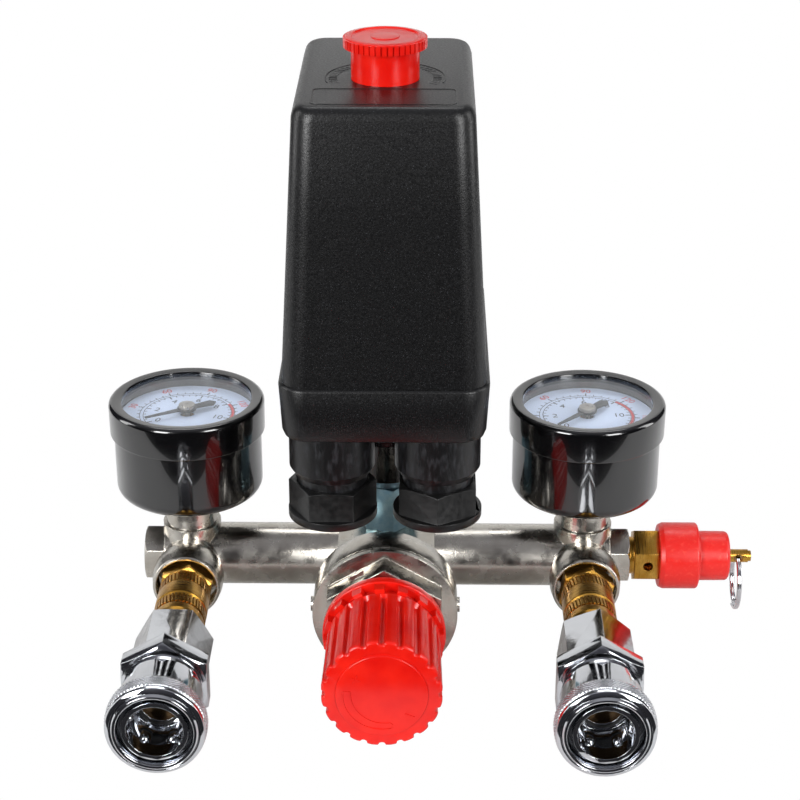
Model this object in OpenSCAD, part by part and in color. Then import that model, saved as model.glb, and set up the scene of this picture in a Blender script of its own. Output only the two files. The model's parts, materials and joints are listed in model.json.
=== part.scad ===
// Air-compressor pressure switch on a nickel-plated manifold, with two gauges,
// a regulator, two quick couplers and a safety valve.
// Origin: centre of the tank port's mouth. +Z up, -Y is the front, +X right.

/* [Manifold] */
// Height of the pipe axis above the tank port's mouth
pipe_h = 22; // [20:1:28]
// Outside diameter of the pipe
pipe_d = 21.6; // [20:0.2:24]
// Bore of the pipe
pipe_bore = 14; // [10:1:15]
// Distance between the two gauge and outlet axes
outlet_pitch = 136.5; // [128:0.5:150]
// Width across flats of the pipe's hexagonal ends
end_af = 18; // [17:0.5:19]
// Outside diameter of the outlet bosses
outlet_d = 23; // [22:0.5:26]
// Reach of the outlet bosses in front of the pipe axis
outlet_reach = 24.8; // [22:0.2:30]
// Diameter of the upright gauge bosses
gauge_boss_d = 17.6; // [16:0.2:20]
// Bore of the tank port
tank_d = 15; // [12:0.5:16]
// Diameter of the female threads' bores
port_d = 13.2; // [12:0.1:14]
// Diameter of the male threads
thread_d = 13; // [11:0.1:13.1]

/* [Switch] */
// Cover width at its rim
cover_w = 65.2; // [60:0.2:70]
// Cover depth at its rim
cover_depth = 97; // [90:0.5:104]
// Draft of each cover side over its height
cover_draft = 4.9; // [2:0.1:6]
// Cover height
cover_h = 89.2; // [80:0.2:100]
// Height of the cover's rim above the pipe axis
cover_z = 85; // [80:0.5:90]
// Moulded wall thickness
wall = 2.5; // [2:0.1:3]
// Diameter of the button's cap
cap_d = 26.4; // [24:0.1:30]
// Diameter of the button's stem
stem_d = 21.5; // [18:0.1:22]
// Distance between the two cable glands
gland_pitch = 34.4; // [32:0.2:36]
// Diameter of the cable entries
cable_d = 14; // [10:0.5:15]

/* [Gauges] */
// Bezel diameter
bezel_d = 53; // [50:0.5:56]
// Case diameter
case_d = 50.2; // [46:0.2:52]
// Gauge height over the bezel
gauge_h = 34.4; // [30:0.2:38]

/* [Couplers] */
// Diameter of the knurled collar
collar_d = 31.8; // [30:0.2:34]
// Diameter of the smooth sleeve
sleeve_d = 25.8; // [25:0.2:27]
// Bore that takes the mating plug
socket_d = 17.4; // [16:0.2:17.6]

/* [Regulator] */
// Diameter of the regulator housing
housing_d = 48.4; // [46:0.2:52]
// Diameter of the red knob over its lobes
knob_d = 38.4; // [34:0.1:40]
// Number of finger lobes on the knob
knob_lobes = 20; // [12:1:24]

/* [Safety valve] */
// Diameter of the red cap
relief_cap_d = 23.2; // [20:0.2:26]
// Outside diameter of the pull ring
ring_d = 20.8; // [18:0.2:24]

/* [Hidden] */
// Radial gap of a sliding or turning fit
fit_gap = 0.07;
// Half of the distance between the outlets
outlet_x = outlet_pitch / 2;
// Hexagonal ends of the pipe
end_x = 84.5;
end_len = 7;
// Centre block
block_w = 33;
block_top = 13.4;
block_back = 13;
tank_depth = 14;
// Regulator stations, measured forward from the pipe axis
housing_back = 28.5;
housing_front = 39.6;
bonnet_hex = 42.4;
bonnet_front = 51;
neck_front = 66;
knob_back = 52;
knob_body = 59.5;
knob_front = 90.8;
// Coupler stations, measured forward from the pipe axis
nipple_front = 68;
rear_hex = 58;
front_hex = 80;
hex_end = 87.4;
sleeve_back = 91;
collar_back = 104.6;
coupler_front = 113;
barrel_d = 20.4;
// Gauge stations, above the pipe axis
gauge_z = 25.8;
gauge_top = gauge_z + gauge_h;
bezel_z = gauge_top - 11.6;
lens_z = gauge_top - 3;
dial_z = gauge_top - 7.2;
hand_z = dial_z + 2;
case_floor = 2.2;
arbor_y = 16.2;
movement_z = 35;
// Switch stations, above the pipe axis
skirt_z = 66;
base_floor = skirt_z + 3;
boss_z = 49.8;
gland_y = -33;
gland_d = 28;
nut_z = 33.6;
nut_top = 46.6;
cover_top = cover_z + cover_h;
button_y = -8.6;
button_top = cover_top + 13.6;
cap_h = 3.6;
contact_z = 102;
rod_z = 140;
lever_y = 25;
lever_z = 76;
corner_r = 8;
// Safety valve stations, along X
relief_hex = 86.4;
relief_cap = 95;
relief_step = 108.8;
relief_end = 119.7;
relief_tip = 127.7;
ring_x = 123.2;
ring_wire = 1.3;
$fn = 64;

// ---------- shared shapes ----------

// A round bar from height a to height b
module bar(d, a, b) {
    translate([0, 0, a]) cylinder(d = d, h = b - a);
}

// A hexagonal bar of width af across flats, with a corner at angle turn
module hex_bar(af, a, b, turn = 0) {
    rotate([0, 0, turn]) translate([0, 0, a]) cylinder(d = af / cos(30), h = b - a, $fn = 6);
}

// A hexagonal bar whose corners are chamfered at its far end
module hex_nut(af, a, b, turn = 0, ch = 1.2) {
    r = af / cos(30) / 2;
    intersection() {
        hex_bar(af, a, b, turn);
        rotate_extrude() polygon([[0, a], [r + 1, a], [r + 1, b - ch], [af / 2 + 0.1, b], [0, b]]);
    }
}

// A plain ring
module ring(d_out, d_in, a, b) {
    difference() {
        bar(d_out, a, b);
        bar(d_in, a - 1, b + 1);
    }
}

// A coil spring shown as a stack of closed rings
module coil(d, wire, a, b, turns) {
    step = (b - a - wire) / (turns - 1);
    for (i = [0:turns - 1]) {
        translate([0, 0, a + wire / 2 + i * step]) {
            rotate_extrude() translate([d / 2, 0]) circle(d = wire, $fn = 16);
        }
    }
}

// Places children on the pipe axis, with their +Z pointing to the front
module to_front(x = 0) {
    translate([x, 0, pipe_h]) rotate([90, 0, 0]) children();
}

// Places children on the pipe axis, with their +Z pointing to +X
module to_right() {
    translate([0, 0, pipe_h]) rotate([0, 90, 0]) children();
}

// Places children at the pipe axis's height, with +Z up
module upright(x = 0, y = 0) {
    translate([x, y, pipe_h]) children();
}

// Both gauge and outlet positions
module each_side() {
    for (s = [-1, 1]) translate([s * outlet_x, 0, 0]) children();
}

// Both cable gland positions
module each_gland() {
    for (s = [-1, 1]) upright(s * gland_pitch / 2, gland_y) children();
}

// ---------- manifold ----------

module outlet_boss() {
    rotate_extrude() polygon([[0, 0], [9.4, 0], [10.5, 10], [outlet_d / 2 + 0.6, 16],
        [outlet_d / 2 + 0.6, 20], [outlet_d / 2, outlet_reach - 0.6],
        [outlet_d / 2 - 0.5, outlet_reach], [0, outlet_reach]]);
}

module manifold_outside() {
    to_right() {
        bar(pipe_d, -end_x + end_len, end_x - end_len);
        hex_nut(end_af, end_x - end_len, end_x, 0, 1.5);
        mirror([0, 0, 1]) hex_nut(end_af, end_x - end_len, end_x, 0, 1.5);
    }
    each_side() {
        to_front() outlet_boss();
        upright() {
            bar(gauge_boss_d, 0, gauge_z - 0.6);
            bar(gauge_boss_d + 2.4, 0, pipe_d / 2 + 2.6);
        }
    }
    translate([-block_w / 2, -housing_back - 1, pipe_h - block_top]) {
        cube([block_w, housing_back + 1 + block_back, 2 * block_top]);
    }
    to_front() {
        bar(housing_d, housing_back, housing_front);
        rotate([0, 90, 0]) translate([-35, 0, 0]) bar(5, -housing_d / 2 - 0.8, housing_d / 2 + 0.8);
    }
    bar(pipe_d + 1.4, 0, pipe_h);
}

module manifold() {
    color([0.72, 0.71, 0.68]) difference() {
        manifold_outside();
        to_right() {
            bar(pipe_bore, -70, 70);
            bar(port_d, -end_x - 1, -66);
            bar(port_d, 66, end_x + 1);
        }
        each_side() {
            upright() bar(port_d, 0, gauge_z);
            to_front() {
                bar(port_d, 0, outlet_reach);
                bar(20.8, 17, outlet_reach + 1);
            }
        }
        upright() bar(port_d, 0, block_top + 1);
        bar(tank_d, -1, tank_depth);
        bar(10, tank_depth - 1, pipe_h);
        to_front() {
            bar(7, 0, 10);
            bar(13, 9, 26);
            bar(6, 25, 31);
            bar(36, 30, housing_front + 1);
        }
    }
}

// Threaded plug with a hexagon socket in the left end
module end_plug() {
    color([0.7, 0.69, 0.66]) to_right() difference() {
        bar(thread_d, -end_x - 0.4, -70);
        hex_bar(6, -end_x - 1, -78);
    }
}

// ---------- switch: pressure side ----------

module switch_adapter() {
    color([0.55, 0.72, 0.78]) upright() rotate([0, 0, -16.4]) difference() {
        union() {
            bar(thread_d, 4, 14);
            hex_nut(17, block_top, 29.8, 0, 0.8);
            bar(16.6, 29.6, 32);
            bar(thread_d, 31.8, 40);
        }
        bar(6, 3, 41);
    }
}

module pressure_flange() {
    color([0.16, 0.16, 0.17]) upright() difference() {
        union() {
            bar(22, 33, 52.2);
            bar(44, 52, skirt_z);
        }
        bar(port_d, 32, 41);
        bar(6, 40, 58);
        bar(34, 57, 60.1);
        bar(38, 60, skirt_z + 1);
    }
}

module switch_diaphragm() {
    color([0.1, 0.1, 0.1]) upright() bar(37.6, 60, 61.2);
}

module pressure_piston() {
    color([0.75, 0.72, 0.6]) upright() {
        bar(24, 61.6, 63.6);
        bar(8 - 2 * fit_gap, 63.5, lever_z - 1.6);
    }
}

// ---------- switch: housing ----------

// Upright block with rounded corners
module round_block(w, d, r, a, b) {
    translate([0, 0, a]) linear_extrude(b - a) {
        union() {
            square([w - 2 * r, d], center = true);
            square([w, d - 2 * r], center = true);
            for (x = [-1, 1], y = [-1, 1]) translate([x * (w / 2 - r), y * (d / 2 - r)]) circle(r);
        }
    }
}

// The cover's outer form, shrunk by inset on every face but the rim
module cover_form(inset) {
    top = cover_top - inset;
    hull() {
        for (x = [-1, 1], y = [-1, 1], s = [0:4]) {
            part = s == 0 ? 0 : 1;
            lift = s == 0 ? cover_z - (inset > 0 ? 1 : 0) : top - 4 + 4 * sin((s - 1) * 30);
            pull = s == 0 ? 0 : 4 * (1 - cos((s - 1) * 30));
            r = corner_r - inset;
            translate([x * (cover_w / 2 - part * cover_draft - corner_r - pull * 0.3),
                y * (cover_depth / 2 - part * cover_draft - corner_r - pull * 0.3), lift]) {
                cylinder(r = r - pull * 0.7, h = 0.01, $fn = 32);
            }
        }
    }
}

module switch_cover() {
    color([0.07, 0.07, 0.08]) upright() difference() {
        cover_form(0);
        cover_form(wall);
        translate([0, button_y, 0]) bar(stem_d + 2 * fit_gap, cover_top - 10, cover_top + 1);
    }
}

module switch_base() {
    color([0.08, 0.08, 0.09]) difference() {
        union() {
            upright() {
                round_block(cover_w + 2, cover_depth + 2, corner_r + 1, base_floor, cover_z);
                round_block(cover_w - 1, cover_depth - 1, corner_r, skirt_z, base_floor + 1);
            }
            each_gland() {
                bar(gland_d, boss_z, skirt_z + 1);
                bar(23, nut_z + 6, boss_z + 1);
            }
        }
        upright() {
            round_block(cover_w - 4, cover_depth - 4, corner_r - 2, base_floor, cover_z + 1);
            bar(8, skirt_z - 1, base_floor + 1);
        }
        each_gland() bar(18, nut_z + 5, base_floor + 1);
    }
}

// Hexagonal compression nut with a round skirt
module gland_nut(turn) {
    color([0.06, 0.06, 0.06]) difference() {
        union() {
            hex_nut(25, nut_z + 2, nut_top, turn, 1);
            bar(29.2, nut_z + 0.4, nut_z + 3);
            bar(28, nut_z, nut_z + 1);
        }
        bar(cable_d, nut_z - 1, nut_z + 4);
        bar(23.2, nut_z + 3, nut_top + 1);
    }
}

module gland_nuts() {
    for (s = [-1, 1]) upright(s * gland_pitch / 2, gland_y) gland_nut(s < 0 ? 0 : 30);
}

// Rubber grommets that the nuts squeeze round the cables
module gland_seals() {
    color([0.12, 0.12, 0.12]) each_gland() ring(22.8, cable_d + 0.4, nut_z + 3, nut_z + 6);
}

// ---------- switch: contacts and lever ----------

module terminal_block() {
    color([0.85, 0.83, 0.78]) upright() difference() {
        union() {
            translate([-26, -38, base_floor]) cube([52, 15, 31]);
            translate([-24, -24, contact_z - 7]) cube([48, 10, 4.6]);
        }
        for (x = [-18, -6, 6, 18], z = [78, 92]) {
            translate([x, -35, z]) rotate([90, 0, 0]) bar(7, -1, 10);
        }
    }
}

// Eight cup-head terminal screws
module terminal_screws() {
    color([0.75, 0.7, 0.5]) upright() {
        for (x = [-18, -6, 6, 18], z = [78, 92]) {
            translate([x, -34, z]) rotate([90, 0, 0]) difference() {
                bar(6, 0, 2.6);
                translate([-4, -0.5, 1.8]) cube([8, 1, 2]);
            }
        }
    }
}

// Moving contacts on a carrier, whose post stands under the button's rod
module contact_bridge() {
    color([0.8, 0.5, 0.3]) upright() {
        translate([-24, -21.5, contact_z + 2]) cube([48, 7, 3]);
        translate([-4, -21.5, contact_z + 2]) cube([8, 16, 3]);
        translate([0, button_y, 0]) bar(5, contact_z + 4, rod_z - 6.3);
        for (x = [-18, -6, 6, 18]) translate([x, -18, 0]) bar(5, contact_z, contact_z + 2.5);
    }
}

module pressure_lever() {
    color([0.7, 0.7, 0.72]) upright() difference() {
        union() {
            translate([-9, -8, lever_z - 1.2]) cube([18, lever_y + 8, 2.4]);
            translate([-9, lever_y, lever_z]) rotate([0, 90, 0]) cylinder(d = 8, h = 18);
        }
        translate([-10, lever_y, lever_z]) rotate([0, 90, 0]) cylinder(d = 4, h = 20);
    }
}

module lever_pin() {
    color([0.6, 0.6, 0.62]) upright() {
        translate([-20, lever_y, lever_z]) rotate([0, 90, 0]) cylinder(d = 4 - 2 * fit_gap, h = 40);
        for (s = [-1, 1]) {
            translate([s * 15 - 1.5, lever_y - 5, base_floor]) cube([3, 10, 13.6]);
        }
    }
}

module range_spring() {
    color([0.6, 0.6, 0.6]) upright(0, 10) coil(13, 2, lever_z + 1.3, 113.5, 9);
}

// Bracket and threaded post, with the nut that sets the cut-out pressure
module range_screw() {
    color([0.75, 0.72, 0.6]) upright() {
        translate([-10, -2, 114]) cube([20, 38, 2]);
        translate([-10, 34, base_floor]) cube([20, 2, 45.5]);
        translate([0, 10, 0]) bar(5, 115, 130);
        translate([0, 10, 0]) hex_bar(10, 116, 121);
    }
}

// ---------- switch: button ----------

module switch_button() {
    color([0.86, 0.1, 0.06]) upright(0, button_y) difference() {
        union() {
            bar(stem_d, cover_top - 10, button_top - cap_h + 0.5);
            bar(cap_d, button_top - cap_h, button_top - 0.4);
            bar(cap_d - 1, button_top - 1, button_top);
        }
        bar(cap_d - 5, button_top - 0.5, button_top + 1);
        bar(stem_d - 5, cover_top - 11, button_top - 3);
    }
}

module button_rod() {
    color([0.8, 0.8, 0.8]) upright(0, button_y) {
        bar(6, rod_z, button_top - 3.2);
        bar(stem_d - 5.2, button_top - 5, button_top - 3);
    }
}

// ---------- gauges ----------

module gauge_case() {
    color([0.06, 0.06, 0.065]) upright() difference() {
        rotate_extrude() polygon(concat(
            [[0, gauge_z], [case_d / 2 - 5, gauge_z]],
            [for (a = [15:15:90]) [case_d / 2 - 5 + 5 * sin(a), gauge_z + 4 - 4 * cos(a)]],
            [[case_d / 2, bezel_z + 4], [0, bezel_z + 4]]));
        bar(case_d - 2.4, gauge_z + case_floor, gauge_top);
        bar(thread_d + 0.2, gauge_z - 1, gauge_z + case_floor + 1);
    }
}

module gauge_bezel() {
    color([0.09, 0.09, 0.1]) upright() difference() {
        rotate_extrude() polygon([[0, bezel_z], [bezel_d / 2 - 0.4, bezel_z],
            [bezel_d / 2, bezel_z + 0.5], [bezel_d / 2, gauge_top - 1],
            [bezel_d / 2 - 1, gauge_top], [0, gauge_top]]);
        bar(44.2, lens_z, gauge_top + 1);
        bar(case_d + 0.1, bezel_z - 1, bezel_z + 4);
        bar(46.2, bezel_z + 3, lens_z + 1.6);
    }
}

module gauge_lens() {
    color([0.8, 0.88, 0.95, 0.35]) upright() bar(46, lens_z, lens_z + 1.6);
}

module gauge_dial() {
    color([0.93, 0.95, 0.98]) upright() ring(45.8, 5.2, dial_z - 0.8, dial_z);
}

// Pointer at angle turn, its hub and the pinion on one shaft
module gauge_pointer(turn) {
    color([0.1, 0.1, 0.1]) upright() {
        bar(1.8, 34, hand_z + 0.5);
        bar(6.6, hand_z - 0.4, hand_z + 0.4);
        bar(5.6, hand_z + 0.3, hand_z + 1.6);
        bar(4.4, 43, 46);
        rotate([0, 0, turn]) translate([0, 0, hand_z - 0.3]) linear_extrude(0.5) {
            polygon([[-10.8, 0], [-9.2, -1.8], [0, -0.9], [15.4, -0.3], [15.4, 0.3], [0, 0.9], [-9.2, 1.8]]);
        }
    }
}

// Segment that turns the pinion, drawn at its pitch circle, on its own arbor
module sector_gear() {
    color([0.8, 0.65, 0.3]) upright() translate([0, arbor_y, 0]) difference() {
        union() {
            bar(3, 41, 47.5);
            translate([0, 0, 43.8]) rotate([0, 0, -21]) linear_extrude(1.4) intersection() {
                circle(r = 13.6);
                polygon([[0, 3], [-12, -18], [12, -18]]);
            }
        }
        bar(1.6, 40, 48);
    }
}

// Brass sockets, each with its threaded stem, the movement's plate, the two
// posts that carry the dial and the arm that holds the elastic tube
module gauge_sockets() {
    color([0.8, 0.65, 0.3]) each_side() upright() difference() {
        union() {
            bar(thread_d, 12, gauge_z + case_floor + 0.2);
            translate([-6, -6, gauge_z + case_floor]) cube([12, 12, movement_z - gauge_z - case_floor]);
            translate([-6, -6, movement_z]) cube([12, 6 + arbor_y + 1.4, 1.4]);
            translate([0, arbor_y, 0]) bar(1.6 - 2 * fit_gap, movement_z + 1, 49);
            for (s = [-1, 1]) translate([s * 5, -4.5, 0]) bar(2, movement_z + 1, dial_z - 0.8);
            rotate([0, 0, -60]) translate([5, -3, movement_z - 3]) cube([16.2, 6, 3]);
        }
        bar(4, 11, movement_z - 2);
        bar(1.8 + 2 * fit_gap, 30, 45);
    }
}

// C-shaped elastic tubes
module bourdon_tubes() {
    color([0.8, 0.6, 0.3]) each_side() upright() translate([0, 0, movement_z]) {
        rotate([0, 0, -66]) rotate_extrude(angle = 270) translate([18.8, 0]) square([2.4, 7]);
    }
}

module gauge_case_left() { translate([-outlet_x, 0, 0]) gauge_case(); }
module gauge_case_right() { translate([outlet_x, 0, 0]) gauge_case(); }
module gauge_bezel_left() { translate([-outlet_x, 0, 0]) gauge_bezel(); }
module gauge_bezel_right() { translate([outlet_x, 0, 0]) gauge_bezel(); }
module gauge_lens_left() { translate([-outlet_x, 0, 0]) gauge_lens(); }
module gauge_lens_right() { translate([outlet_x, 0, 0]) gauge_lens(); }
module gauge_dial_left() { translate([-outlet_x, 0, 0]) gauge_dial(); }
module gauge_dial_right() { translate([outlet_x, 0, 0]) gauge_dial(); }
module pointer_left() { translate([-outlet_x, 0, 0]) gauge_pointer(210); }
module pointer_right() { translate([outlet_x, 0, 0]) gauge_pointer(227); }
module sector_gear_left() { translate([-outlet_x, 0, 0]) sector_gear(); }
module sector_gear_right() { translate([outlet_x, 0, 0]) sector_gear(); }

// ---------- couplers ----------

module nipple() {
    color([0.8, 0.58, 0.2]) difference() {
        union() {
            bar(thread_d, 12, 23);
            hex_bar(17, 22, 28.6, 20);
            bar(17.6, 28.4, rear_hex - 0.1);
            bar(thread_d, rear_hex - 0.2, nipple_front);
        }
        bar(8, 11, nipple_front + 1);
    }
}

// Body with a rear and a front hexagon, the valve's chamber and the plug's socket
module coupler_body(turn) {
    color([0.78, 0.79, 0.81]) difference() {
        union() {
            mirror([0, 0, 1]) hex_nut(22, -front_hex - 0.5, -rear_hex, turn, 0.8);
            hex_nut(27, front_hex, hex_end, 90, 2);
            bar(24.06, hex_end - 0.2, 93);
            bar(barrel_d, 92, coupler_front - 1);
        }
        bar(port_d, rear_hex - 1, nipple_front + 2);
        bar(15.6, nipple_front + 1, 94);
        bar(13, 93, 97);
        bar(socket_d + 0.4, 96, 106.05);
        bar(socket_d, 106, coupler_front + 1);
        for (a = [0:60:300]) rotate([0, 0, a]) translate([0, 0, 104.5]) rotate([0, 90, 0]) bar(3.1, 8, 12);
    }
}

module coupler_sleeve() {
    color([0.8, 0.81, 0.83]) difference() {
        union() {
            bar(sleeve_d, sleeve_back, collar_back + 1);
            rotate_extrude() polygon([[0, collar_back], [collar_d / 2 - 0.5, collar_back],
                [collar_d / 2, collar_back + 0.5], [collar_d / 2, 110],
                [collar_d / 2 - 1.2, 112], [collar_d / 2 - 3, coupler_front], [0, coupler_front]]);
        }
        bar(24.06 + 2 * fit_gap, sleeve_back - 1, 101);
        bar(barrel_d + 2 * fit_gap, 100, 109);
        bar(22.8, 108.5, coupler_front + 1);
    }
}

module coupler_valve() {
    color([0.72, 0.45, 0.25]) {
        bar(14.8, 91.4, 93.8);
        bar(6, 80, 92);
    }
}

module lock_balls() {
    color([0.85, 0.86, 0.88]) each_side() to_front() {
        for (a = [0:60:300]) rotate([0, 0, a]) translate([8.7, 0, 104.5]) sphere(d = 3);
    }
}

module nipple_left() { to_front(-outlet_x) nipple(); }
module nipple_right() { to_front(outlet_x) nipple(); }
module coupler_body_left() { to_front(-outlet_x) coupler_body(0); }
module coupler_body_right() { to_front(outlet_x) coupler_body(22); }
module coupler_sleeve_left() { to_front(-outlet_x) coupler_sleeve(); }
module coupler_sleeve_right() { to_front(outlet_x) coupler_sleeve(); }
module coupler_valve_left() { to_front(-outlet_x) coupler_valve(); }
module coupler_valve_right() { to_front(outlet_x) coupler_valve(); }
module sleeve_spring() { color([0.6, 0.6, 0.6]) coil(21.8, 1, 93.2, 100.8, 5); }
module sleeve_spring_left() { to_front(-outlet_x) sleeve_spring(); }
module sleeve_spring_right() { to_front(outlet_x) sleeve_spring(); }
module valve_spring() { color([0.6, 0.6, 0.6]) coil(12, 1, 68.1, 91.3, 8); }
module valve_spring_left() { to_front(-outlet_x) valve_spring(); }
module valve_spring_right() { to_front(outlet_x) valve_spring(); }

// ---------- regulator ----------

module regulator_bonnet() {
    color([0.74, 0.73, 0.7]) to_front() difference() {
        union() {
            bar(housing_d, housing_front + 0.9, bonnet_hex);
            hex_bar(37.8, bonnet_hex - 0.2, bonnet_front, 90);
            bar(24, bonnet_front - 0.5, neck_front);
        }
        bar(27, housing_front, 49.6);
        bar(18.6, 49, neck_front - 2);
        bar(6 + 2 * fit_gap, neck_front - 3, neck_front + 1);
        rotate([0, 0, 30]) translate([-2.9, 17.2, 43.6]) cube([5.8, 4, 8]);
    }
}

module regulator_diaphragm() {
    color([0.12, 0.12, 0.12]) to_front() {
        bar(46, housing_front, housing_front + 0.9);
    }
}

module adjusting_screw() {
    color([0.7, 0.7, 0.72]) to_front() {
        bar(6, 47, 86);
        bar(10, 61.2, 63.6);
    }
}

// Round nut that climbs the screw and presses the spring
module spring_nut() {
    color([0.75, 0.68, 0.45]) to_front() ring(17.6, 6 + 2 * fit_gap, 53.5, 57);
}

module regulator_spring() {
    color([0.6, 0.6, 0.6]) to_front() coil(14, 2, 40.6, 53.4, 5);
}

module knob_outline() {
    difference() {
        circle(d = knob_d);
        for (i = [0:knob_lobes - 1]) rotate(i * 360 / knob_lobes) translate([knob_d / 2 + 0.5, 0]) {
            circle(d = 2.8, $fn = 24);
        }
    }
}

module regulator_knob() {
    color([0.88, 0.1, 0.05]) to_front() difference() {
        union() {
            bar(40.6, knob_back, knob_back + 3.5);
            bar(33, knob_back, knob_body + 1);
            for (i = [0:15]) rotate([0, 0, i * 22.5 + 4]) {
                translate([15, -1.7, knob_back + 3]) cube([4.7, 3.4, knob_body - knob_back - 2]);
            }
            translate([0, 0, knob_body]) linear_extrude(knob_front - knob_body) knob_outline();
            bar(29.2, knob_front - 1, knob_front + 0.9);
        }
        bar(25, knob_back - 1, neck_front + 3.4);
        bar(6 + 2 * fit_gap, neck_front, 86.4 + 3);
    }
}

module regulator_poppet() {
    color([0.8, 0.62, 0.25]) to_front() {
        bar(10, 22.4, 25.7);
        bar(3, 25.5, 39.2);
    }
}

module poppet_spring() {
    color([0.6, 0.6, 0.6]) to_front() coil(8.6, 1, 9.2, 22.2, 5);
}

// ---------- safety valve ----------

module safety_body() {
    color([0.78, 0.6, 0.25]) to_right() difference() {
        union() {
            bar(thread_d, 74, relief_hex + 0.2);
            hex_nut(16.8, relief_hex, relief_cap, 0, 0.6);
            bar(14, relief_cap - 1, 104);
        }
        bar(5, 73, 80);
        bar(9, 79, 105);
        translate([0, 0, 91]) rotate([90, 0, 0]) bar(3.4, 4, 9);
    }
}

module safety_cap() {
    color([0.86, 0.1, 0.06]) to_right() difference() {
        rotate_extrude() polygon([[0, relief_cap], [relief_cap_d / 2 - 1, relief_cap],
            [relief_cap_d / 2, relief_cap + 1], [relief_cap_d / 2, relief_step - 1.6],
            [relief_cap_d / 2 - 1.6, relief_step], [8.6, relief_step], [8.6, relief_end - 3],
            [7.8, relief_end - 1], [6, relief_end], [0, relief_end]]);
        bar(14.2, relief_cap - 1, 104.1);
        bar(9, 104, 116);
        bar(4.6 + 2 * fit_gap, 115, relief_end + 1);
    }
}

module safety_stem() {
    color([0.78, 0.6, 0.25]) to_right() difference() {
        union() {
            bar(8.4, 80.4, 84);
            bar(4.6, 83.5, relief_tip - 1);
            bar(3.8, relief_tip - 1.1, relief_tip);
            bar(8.4, 90, 91.6);
        }
        translate([0, 0, ring_x]) rotate([90, 0, 0]) bar(2.9, -5, 5);
    }
}

module safety_spring() {
    color([0.6, 0.6, 0.6]) to_right() coil(6.8, 1.1, 92, 115, 8);
}

// Split ring of two turns side by side, hanging from the stem's cross hole
module pull_ring() {
    hang = (ring_d - ring_wire) / 2;
    color([0.8, 0.8, 0.82]) translate([ring_x, 0, pipe_h - hang]) {
        for (s = [-1, 1]) translate([s * 0.575, 0, 0]) rotate([0, 90, 0]) {
            rotate_extrude() translate([hang, 0]) circle(d = ring_wire, $fn = 24);
        }
    }
}

manifold();
end_plug();
switch_adapter();
pressure_flange();
switch_diaphragm();
pressure_piston();
switch_base();
switch_cover();
terminal_block();
terminal_screws();
contact_bridge();
pressure_lever();
lever_pin();
range_spring();
range_screw();
switch_button();
button_rod();
gland_nuts();
gland_seals();
gauge_case_left();
gauge_case_right();
gauge_bezel_left();
gauge_bezel_right();
gauge_lens_left();
gauge_lens_right();
gauge_dial_left();
gauge_dial_right();
pointer_left();
pointer_right();
sector_gear_left();
sector_gear_right();
gauge_sockets();
bourdon_tubes();
nipple_left();
nipple_right();
coupler_body_left();
coupler_body_right();
coupler_sleeve_left();
coupler_sleeve_right();
coupler_valve_left();
coupler_valve_right();
sleeve_spring_left();
sleeve_spring_right();
valve_spring_left();
valve_spring_right();
lock_balls();
regulator_bonnet();
regulator_diaphragm();
adjusting_screw();
spring_nut();
regulator_spring();
regulator_knob();
regulator_poppet();
poppet_spring();
safety_body();
safety_cap();
safety_stem();
safety_spring();
pull_ring();
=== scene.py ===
"""Looks of an air-compressor pressure switch on its manifold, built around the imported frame.

Lengths in the making functions are millimetres. Every piece is moved to its place, in metres,
before it rides on its body.
"""

import json
import math

import bmesh
import bpy
from mathutils import Matrix, Vector


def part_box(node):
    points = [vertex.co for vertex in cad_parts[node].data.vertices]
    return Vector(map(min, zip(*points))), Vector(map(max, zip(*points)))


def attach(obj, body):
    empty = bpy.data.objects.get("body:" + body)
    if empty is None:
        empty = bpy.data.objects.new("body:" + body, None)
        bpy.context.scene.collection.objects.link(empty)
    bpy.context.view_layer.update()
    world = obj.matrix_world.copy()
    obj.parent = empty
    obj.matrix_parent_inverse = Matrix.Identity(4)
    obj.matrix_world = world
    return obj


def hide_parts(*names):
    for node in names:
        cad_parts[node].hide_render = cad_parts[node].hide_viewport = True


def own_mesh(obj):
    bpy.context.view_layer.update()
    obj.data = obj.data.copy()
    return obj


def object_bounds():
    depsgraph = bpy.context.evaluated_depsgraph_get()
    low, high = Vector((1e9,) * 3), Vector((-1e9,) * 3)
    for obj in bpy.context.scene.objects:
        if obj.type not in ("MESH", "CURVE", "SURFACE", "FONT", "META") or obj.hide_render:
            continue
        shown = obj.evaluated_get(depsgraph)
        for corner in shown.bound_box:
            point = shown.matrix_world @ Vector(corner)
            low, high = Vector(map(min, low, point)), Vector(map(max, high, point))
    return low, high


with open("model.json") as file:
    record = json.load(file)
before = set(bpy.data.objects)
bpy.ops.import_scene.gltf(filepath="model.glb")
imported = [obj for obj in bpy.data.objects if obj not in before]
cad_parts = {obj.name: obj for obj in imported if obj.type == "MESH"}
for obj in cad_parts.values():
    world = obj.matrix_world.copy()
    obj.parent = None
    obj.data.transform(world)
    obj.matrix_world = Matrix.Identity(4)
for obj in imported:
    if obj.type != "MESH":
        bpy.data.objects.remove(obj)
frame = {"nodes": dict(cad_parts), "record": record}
cad_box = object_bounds()

MM = 0.001
TURN = 2 * math.pi
SIDES = ("left", "right")


# ---------- places, worked out from the frame ----------


def middle(node):
    """Centre of a CAD node's box, in millimetres."""
    low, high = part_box(node)
    return (low + high) / 2 / MM


def span(node, axis):
    """Lowest and highest value of a CAD node along an axis, in millimetres."""
    low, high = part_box(node)
    return low[axis] / MM, high[axis] / MM


X, Y, Z = 0, 1, 2
PIPE_Z = middle("regulator_knob").z
OUTLET_X = {side: middle(f"nipple_{side}").x for side in SIDES}
BUTTON_Y = middle("switch_button").y
COVER_LOW, COVER_TOP = span("switch_cover", Z)
GLAND_X = span("gland_nuts", X)[1] - 14.6
GLAND_Y = middle("gland_nuts").y


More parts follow.
